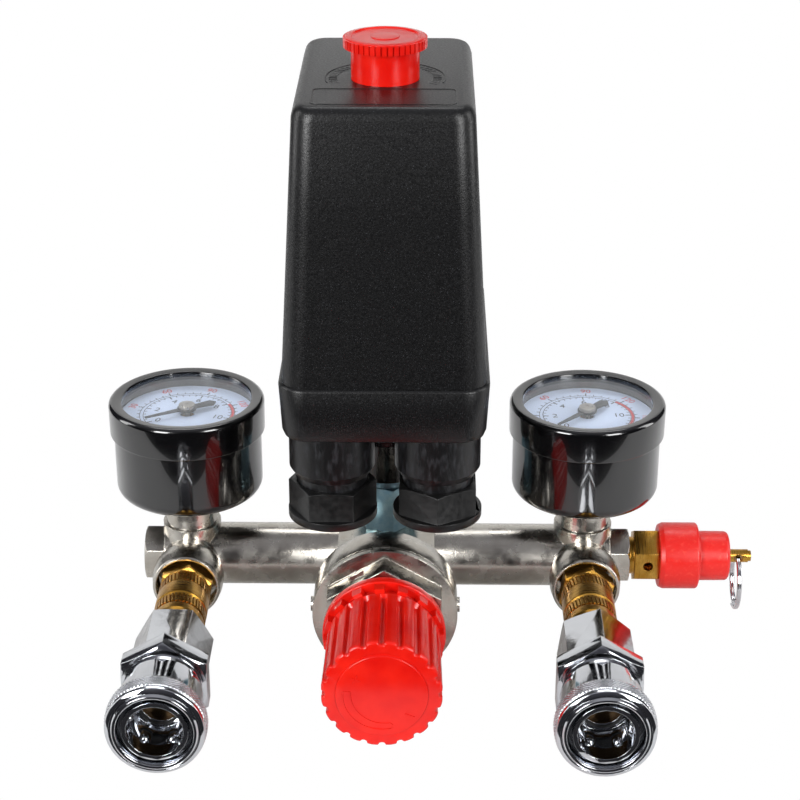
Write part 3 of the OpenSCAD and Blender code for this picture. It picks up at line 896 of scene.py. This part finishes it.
def dial_number(text, size, radius, bar, material, place, lean):
    """A number round the dial; lean 1 turns its foot to the middle, and 0 keeps it upright."""
    curve = bpy.data.curves.new("number", "FONT")
    curve.body = text
    curve.size = size
    curve.align_x, curve.align_y = "CENTER", "CENTER"
    curve.extrude = 0.02
    writer = bpy.data.objects.new("number", curve)
    bpy.context.scene.collection.objects.link(writer)
    mesh = bpy.data.meshes.new_from_object(writer)
    bpy.data.objects.remove(writer)
    a = math.radians(ZERO_ANGLE - bar * DEGREES_PER_BAR)
    mesh.transform(Matrix.Rotation((a - math.pi / 2) * lean, 4, "Z"))
    mesh.transform(place @ Matrix.Translation((radius * math.cos(a), radius * math.sin(a), 0.03)))
    mesh.materials.clear()
    mesh.materials.append(material)
    return mesh


def dial_print(place):
    """Scales in bar and pound per square inch, with the red band from 8 to 12 bar."""
    here = place @ Matrix.Translation((0, 0, DIAL_Z))
    per_psi = DEGREES_PER_BAR * BAR_PER_PSI
    end = ZERO_ANGLE - FULL_BAR * DEGREES_PER_BAR
    band = arc(15.6, end, ZERO_ANGLE - RED_FROM_BAR * DEGREES_PER_BAR, 40)
    meshes = [
        bead(arc(16.2, end, ZERO_ANGLE, 90), 0.26, 0.05, INK_BLACK, here, sink=0.05),
        bead(arc(15.0, end, ZERO_ANGLE, 90), 0.26, 0.05, INK_BLACK, here, sink=0.05),
        bead(band, 1.1, 0.04, INK_RED, here, sink=0.05),
    ]
    # radius, length, width, count and step in degrees
    scales = (
        (17.1, 1.9, 0.4, 6, 30 * per_psi),
        (16.7, 1.1, 0.24, 30, 6 * per_psi),
        (14.1, 1.9, 0.42, 7, 2 * DEGREES_PER_BAR),
        (14.5, 1.1, 0.24, 31, 0.4 * DEGREES_PER_BAR),
    )
    for radius, length, width, count, step in scales:
        tick = block((length, width, 0.08), (radius, 0, 0.02), INK_BLACK)
        meshes.append(teeth(tick, count, INK_BLACK, here, first=ZERO_ANGLE, step=-step))
    for value in (0, 30, 60, 90, 120, 150):
        meshes.append(dial_number(str(value), 3.7, 19.9, value * BAR_PER_PSI, INK_RED, here, 1))
    for value in (0, 2, 4, 6, 8, 10):
        meshes.append(dial_number(str(value), 3.9, 10.9, value, INK_BLACK, here, 0))
    return meshes


def dial_plate(place):
    """White dial with the shaft's hole."""
    outline = [(2.6, DIAL_Z - 0.8), (22.9, DIAL_Z - 0.8), (22.9, DIAL_Z), (2.6, DIAL_Z)]
    return lathe(outline, DIAL_WHITE, place)


def pointer(side, place):
    """Lacquered hand with a broad tail, on a turned hub and shaft."""
    level = DIAL_Z + 1.7
    turned = place @ Matrix.Rotation(math.radians(ZERO_ANGLE + PRINT_TURN[side]), 4, "Z")
    form = [(-10.8, 0), (-9.2, -1.9), (0, -1.1), (15.4, -0.42), (15.4, 0.42), (0, 1.1), (-9.2, 1.9)]
    hand = stacked([[(x, y, level + h) for x, y in form] for h in (0, 0.45)], HAND_LACQUER, turned)
    foot, top = level - 0.1, level + 0.7
    outline = rounded([(0, foot), (3.3, foot, 0.1), (3.3, top, 0.2), (0, top)])
    boss = lathe(outline, HAND_LACQUER, place, 48)
    low, step, crown, dimple = (
        span(f"pointer_{side}", Z)[0] - PIPE_Z, level + 0.6, level + 1.85, level + 1.6,
    )
    outline = [
        (0, low), (0.9, low), (0.9, step), (2.8, step), (2.8, crown, 0.3), (0.8, crown),
        (0.5, dimple), (0, dimple),
    ]
    hub = lathe(rounded(outline), HUB_METAL, place, 48)
    pinion = lathe([(0, 43), (2.2, 43), (2.2, 46), (0, 46)], HUB_METAL, place, 24)
    return [hand, boss, hub, pinion]


for side in SIDES:
    spot = upright(OUTLET_X[side])
    printed = spot @ Matrix.Rotation(math.radians(PRINT_TURN[side]), 4, "Z")
    piece(f"case_{side}", [gauge_case(spot)], "root", "black_enamel", f"gauge_case_{side}")
    piece(f"bezel_{side}", [gauge_bezel(spot)], "root", "black_enamel", f"gauge_bezel_{side}")
    dial = [dial_plate(spot), *dial_print(printed)]
    piece(f"dial_{side}", dial, "root", "dial_enamel", f"gauge_dial_{side}")
    hand = pointer(side, spot)
    piece(f"hand_{side}", hand, f"pointer_{side}", "pointer_black", f"pointer_{side}")
    paint(f"gauge_lens_{side}", GLASS)
    paint(f"sector_gear_{side}", BRASS_Y)
paint("gauge_sockets", BRASS_Y)
paint("bourdon_tubes", BRASS_Y)


# ---------- couplers ----------


def nipple(place):
    """Turned brass nipple: hexagon, two serrated bands and a waist."""
    outline = rounded(
        [
            (4, 12), (6.5, 12), (6.5, 22.6), (8.6, 22.6), (8.6, 28.8), (7.9, 29), (7.9, 34.2),
            (8.8, 34.6, 0.2), (8.8, 42, 0.3), (7.9, 42.8), (7.9, 48.4), (8.6, 48.8, 0.3),
            (8.6, 52, 0.5), (7.4, 56), (7.4, 57.9), (6.5, 57.9), (6.5, 68), (4, 68),
        ]
    )
    meshes = [lathe(outline, BRASS_Y, place)]
    tooth = block((1.2, 0.8, 4.9), (8.15, 0, 0), BRASS_Y)
    tooth.transform(Matrix.Rotation(math.radians(6), 4, "X"))
    for height in (31.7, 45.7):
        meshes.append(teeth(tooth.copy(), 42, BRASS_Y, place, start=height))
    corners = [math.radians(20 + 60 * k) for k in range(6)]
    hexagon = [
        [(r * math.cos(a), r * math.sin(a), h) for a in corners]
        for r, h in ((8.9, 22), (9.8, 22.6), (9.8, 28), (8.9, 28.6))
    ]
    meshes.append(stacked(hexagon, BRASS_Y, place))
    return meshes


def sleeve(place):
    """Pull-back sleeve: plain tube, diamond-knurled collar and a stepped mouth."""
    outline = rounded(
        [
            (12.1, 91), (12.9, 91, 0.3), (12.9, 104.4), (15.3, 104.4, 0.3), (15.45, 104.9),
            (15.45, 109.4), (15.0, 109.7), (15.0, 110.3), (15.5, 110.5, 0.2), (15.2, 111.6, 0.4),
            (13.9, 112.3, 0.2), (13.6, 111.9, 0.1), (12.9, 113, 0.3), (12.0, 112.8, 0.2),
            (11.45, 111.6), (11.45, 108.5), (10.27, 108.5), (10.27, 101), (12.1, 101),
        ],
        3,
    )
    body = lathe(outline, CHROME, place, 128, 26)
    point = spike(1.15, 1.15, 0.45, 15.35, CHROME)
    knurl = teeth(
        point, 84, CHROME, place, rows=8, row_step=0.6, start=105.1, stagger=0.5, angle=10
    )
    return [body, knurl]


def coil(node, radius, wire, turns, place, low, high):
    """A helical spring in place of a CAD node's stack of rings."""
    values = {"Radius": radius, "Wire": wire, "Height": high - low - wire, "Turns": turns}
    start = place @ Matrix.Translation((0, 0, low + wire / 2))
    meshes = [grown(COIL_TREE, values, SPRING_STEEL, start)]
    spring = piece(f"{node}_wire", meshes, BODY_OF[node], SLOT_OF[node], node)
    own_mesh(spring)


for side in SIDES:
    spot = to_front(OUTLET_X[side])
    piece(f"turned_nipple_{side}", nipple(spot), "root", "brass", f"nipple_{side}")
    shell, cad_sleeve = f"sleeve_{side}", f"coupler_sleeve_{side}"
    piece(f"knurled_sleeve_{side}", sleeve(spot), shell, "bright_chrome", cad_sleeve)
    section = [TURN * k / 12 for k in range(12)]
    ring = [(6.4 + 0.5 * math.cos(a), 97.6 + 0.5 * math.sin(a)) for a in section]
    seal = lathe(ring, RUBBER, spot, 48)
    refine(f"coupler_body_{side}", CHROME, 0.3, [seal])
    refine(f"coupler_valve_{side}", VALVE_BRASS, 0.2)
    coil(f"sleeve_spring_{side}", 10.9, 1, 4, spot, 93.2, 100.8)
    coil(f"valve_spring_{side}", 6, 1, 7, spot, 68.1, 91.3)
paint("lock_balls", CHROME)


# ---------- manifold and regulator ----------

LOBES, LOBE_STEPS, CASTELLATIONS = 20, 36, 16
KNOB_R, BORE_R = 19.15, 12.5
WALL_LOW, BORE_END, WALL_FRONT, FACE_FRONT = 57.6, 69.4, 90.8, 91.6


def knob_radius(angle, depth):
    """Radius of the knob's outline: wide lobes with a flat-bottomed groove between each two."""
    step = 360 / LOBES
    off = abs((angle + step / 2) % step - step / 2)
    lobe = 0.5 * (1 - off / (step / 2)) ** 2
    share = min(1.0, max(0.0, (4.1 - off) / 1.9))
    groove = 0.95 * share * share * (3 - 2 * share)
    return KNOB_R - depth * (lobe + groove)


def knob_wall():
    """Scalloped wall, from its blind bore round the back to the rounded front edge."""
    # height, inset and depth of the lobes
    stations = [
        (WALL_LOW, -1.7, 0), (WALL_LOW + 1.2, -0.8, 0), (60.2, -0.6, 0), (61.2, -0.6, 1),
        (75, -0.35, 1), (88.4, -0.05, 1), (89.2, 0, 0.9),
    ]
    for k in range(1, 6):
        a = math.pi / 2 * k / 5
        height = WALL_FRONT - 1.1 + 1.1 * math.sin(a)
        stations.append((height, -1.1 * (1 - math.cos(a)), 0.9 - 0.06 * k))
    stations.append((WALL_FRONT, -3.4, 0.1))
    count = LOBES * LOBE_STEPS
    turns = [TURN * k / count for k in range(count)]
    loops = [
        [(BORE_R * math.cos(a), BORE_R * math.sin(a), h) for a in turns]
        for h in (BORE_END, WALL_LOW)
    ]
    for height, inset, depth in stations:
        loop = []
        for k in range(count):
            degrees = 360 * k / count
            r = knob_radius(degrees, depth) + inset
            a = math.radians(degrees)
            loop.append((r * math.cos(a), r * math.sin(a), height))
        loops.append(loop)
    return stacked(loops, RED_ABS, to_front(), angle=40)


def knob():
    """Red regulator knob: castellated ring, scalloped grip and a face with plain signs."""
    place = to_front()
    face = rounded([(0, FACE_FRONT), (14.4, FACE_FRONT, 0.35), (14.75, 90.6), (0, 90.6)])
    ring = rounded(
        [
            (BORE_R, 52), (20.2, 52, 0.5), (20.25, 55.5, 0.4), (17, 55.6), (17, 58.4),
            (BORE_R, 58.4),
        ]
    )
    tooth = block((3.4, 3.4, 4.4), (18, 0, 57.2), RED_ABS, 0.94)
    meshes = [
        knob_wall(),
        lathe(face, RED_ABS, place, 128),
        lathe(ring, RED_ABS, place, 128),
        teeth(tooth, CASTELLATIONS, RED_ABS, place, first=4),
    ]
    front = place @ Matrix.Translation((0, 0, FACE_FRONT))
    crescent = [*arc(12.2, 172, 285, 50), (3.4, -10.4)]
    crescent += [*arc(10.6, 280, 190, 40, (0.8, 0.6)), (-9.9, 1.6)]
    plus, minus = Vector((-8.3, 6.0)), Vector((8.8, -7.0))
    long = Vector((1.5, -0.6))
    cross = Vector((0.6, 1.5))
    meshes.append(bead(crescent, 0.6, 0.22, RED_ABS, front, closed=True))
    for centre, arm in ((plus, long), (plus, cross), (minus, long)):
        meshes.append(bead([centre - arm, centre + arm], 0.7, 0.24, RED_ABS, front))
    return meshes


piece("knob_moulding", knob(), "knob", "red_abs", "regulator_knob")
refine("manifold", NICKEL, 0.3)
refine("regulator_bonnet", NICKEL, 0.25)
refine("end_plug", NICKEL, 0.2)
coil("regulator_spring", 7, 2, 4, to_front(), 40.6, 53.4)
coil("poppet_spring", 4.3, 1, 4, to_front(), 9.2, 22.2)
coil("range_spring", 6.5, 2, 8, upright(0, 10), 77.3, 113.5)


# ---------- safety valve ----------


def dipped_cap():
    """Soft red cap in two steps."""
    outline = rounded(
        [
            (7.1, 95), (10.9, 95, 0.5), (11.6, 96.6, 0.8), (11.6, 108.8, 1.1), (8.7, 108.9, 0.7),
            (8.6, 119.7, 1.6), (2.45, 119.7, 0.2), (2.45, 116), (4.5, 116), (4.5, 104.1),
            (7.1, 104.1),
        ],
        6,
    )
    return lathe(outline, RED_PVC, to_right())


def split_ring():
    """Two turns of wire side by side, as one helix, hanging from the stem's hole."""
    low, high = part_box("pull_ring")
    wire, gap, height = 1.3, 0.12, 1.16
    radius = (high.z - low.z) / MM / 2 - wire / 2
    centre = middle("pull_ring")
    place = millimetres(*centre) @ Matrix.Rotation(math.pi / 2, 4, "Y")
    values = {"Radius": radius, "Wire": wire - gap, "Height": height, "Turns": 2.0}
    return grown(COIL_TREE, values, RING_STEEL, place @ Matrix.Translation((0, 0, -height / 2)))


piece("safety_cap_dipped", [dipped_cap()], "root", "red_abs", "safety_cap")
piece("split_ring", [split_ring()], "ring", "ring_steel", "pull_ring")
refine("safety_body", BRASS_X, 0.2)
refine("safety_stem", BRASS_X, 0.2)
coil("safety_spring", 3.4, 1.1, 7, to_right(), 92, 115)

for node, material in (
    ("switch_diaphragm", RUBBER),
    ("regulator_diaphragm", RUBBER),
    ("gland_seals", RUBBER),
    ("pressure_piston", YELLOW_ZINC),
    ("range_screw", YELLOW_ZINC),
    ("terminal_screws", YELLOW_ZINC),
    ("spring_nut", YELLOW_ZINC),
    ("terminal_block", PHENOLIC),
    ("contact_bridge", COPPER),
    ("pressure_lever", PLAIN_STEEL),
    ("lever_pin", PLAIN_STEEL),
    ("button_rod", PLAIN_STEEL),
    ("adjusting_screw", PLAIN_STEEL),
    ("regulator_poppet", BRASS_Y),
):
    paint(node, material)


# ---------- studio ----------


def studio_cove():
    """White paper under and behind the part. It lights and mirrors in it, but stays unseen."""
    low = cad_box[0][2]
    front, bend, sweep, top, half = -0.135, 0.45, 0.2, 0.62, 0.55
    profile = [(front, low), (bend, low)]
    for k in range(1, 9):
        a = math.pi / 2 * k / 8
        profile.append((bend + sweep * math.sin(a), low + sweep * (1 - math.cos(a))))
    profile.append((0.65, top))
    points = [(x, y, z) for y, z in profile for x in (-half, half)]
    strips = [(2 * k, 2 * k + 1, 2 * k + 3, 2 * k + 2) for k in range(len(profile) - 1)]
    mesh = bpy.data.meshes.new("cove")
    mesh.from_pydata(points, [], strips)
    paper, tree, shader = finish("white_paper", "#E2E2E1", 0.8)
    tree.links.new(spread(tree, speckle(tree, 40.0), 0.75, 0.85), shader.inputs["Roughness"])
    mesh.materials.append(paper)
    cove = bpy.data.objects.new("cove", mesh)
    cove.visible_camera = False
    bpy.context.scene.collection.objects.link(cove)


def softbox(name, at, aim, size, power):
    """A rectangular lamp that faces a point."""
    lamp = bpy.data.lights.new(name, "AREA")
    lamp.shape = "RECTANGLE"
    lamp.size, lamp.size_y = size
    lamp.energy = power
    holder = bpy.data.objects.new(name, lamp)
    holder.location = at
    holder.rotation_euler = (Vector(aim) - Vector(at)).to_track_quat("-Z", "Y").to_euler()
    bpy.context.scene.collection.objects.link(holder)


def studio_room():
    """World light: dim all round and a little brighter overhead. The camera sees white instead."""
    world = bpy.data.worlds.new("studio")
    bpy.context.scene.world = world
    world.use_nodes = True
    tree = world.node_tree
    tree.nodes.clear()
    direction = add(tree, "ShaderNodeTexCoord").outputs["Generated"]
    up = add(tree, "ShaderNodeSeparateXYZ", {0: direction})
    ramp = add(tree, "ShaderNodeValToRGB", {0: spread(tree, up.outputs["Z"], 0, 1, -1, 1)})
    stops = ramp.color_ramp.elements
    stops[0].position, stops[0].color = 0.3, linear("#303032")
    stops[1].position, stops[1].color = 0.97, linear("#A4A4AA")
    for position, code in ((0.56, "#2C2C30"), (0.8, "#4A4A50")):
        stops.new(position).color = linear(code)
    seen = add(tree, "ShaderNodeLightPath").outputs["Is Camera Ray"]
    room = add(tree, "ShaderNodeBackground", {"Color": ramp.outputs[0], "Strength": 1.0})
    backdrop = add(tree, "ShaderNodeBackground", {"Color": linear("#FFFFFF"), "Strength": 1.0})
    mix = add(tree, "ShaderNodeMixShader", {0: seen, 1: room.outputs[0], 2: backdrop.outputs[0]})
    add(tree, "ShaderNodeOutputWorld", {"Surface": mix.outputs[0]})


def camera():
    """Camera in front, to the right of the middle and looking down."""
    lens = bpy.data.cameras.new("camera")
    lens.sensor_width, lens.lens = 36, 90
    lens.clip_start, lens.clip_end = 0.05, 50
    holder = bpy.data.objects.new("camera", lens)
    holder.location = (0.01281, -0.61857, 0.36471)
    forward = Vector((-0.01225, 0.90916, -0.41626))
    holder.rotation_euler = forward.to_track_quat("-Z", "Y").to_euler()
    bpy.context.scene.collection.objects.link(holder)
    bpy.context.scene.camera = holder


studio_cove()
studio_room()
for name, at, aim_height, size, watts in (
    ("left", (-0.65, -0.95, 0.5), 0.08, (0.4, 0.6), 11),
    ("right", (0.7, -0.9, 0.5), 0.08, (0.4, 0.6), 9),
    ("left side", (-0.9, 0.05, 0.35), 0.08, (0.25, 0.7), 2.5),
    ("right side", (0.9, 0.05, 0.35), 0.08, (0.25, 0.7), 2.5),
    ("back", (0, 0.6, 1.25), 0.1, (1.0, 0.3), 4),
):
    softbox(name, at, (0, 0, aim_height), size, watts)
camera()
bpy.context.scene.view_settings.view_transform = "Standard"
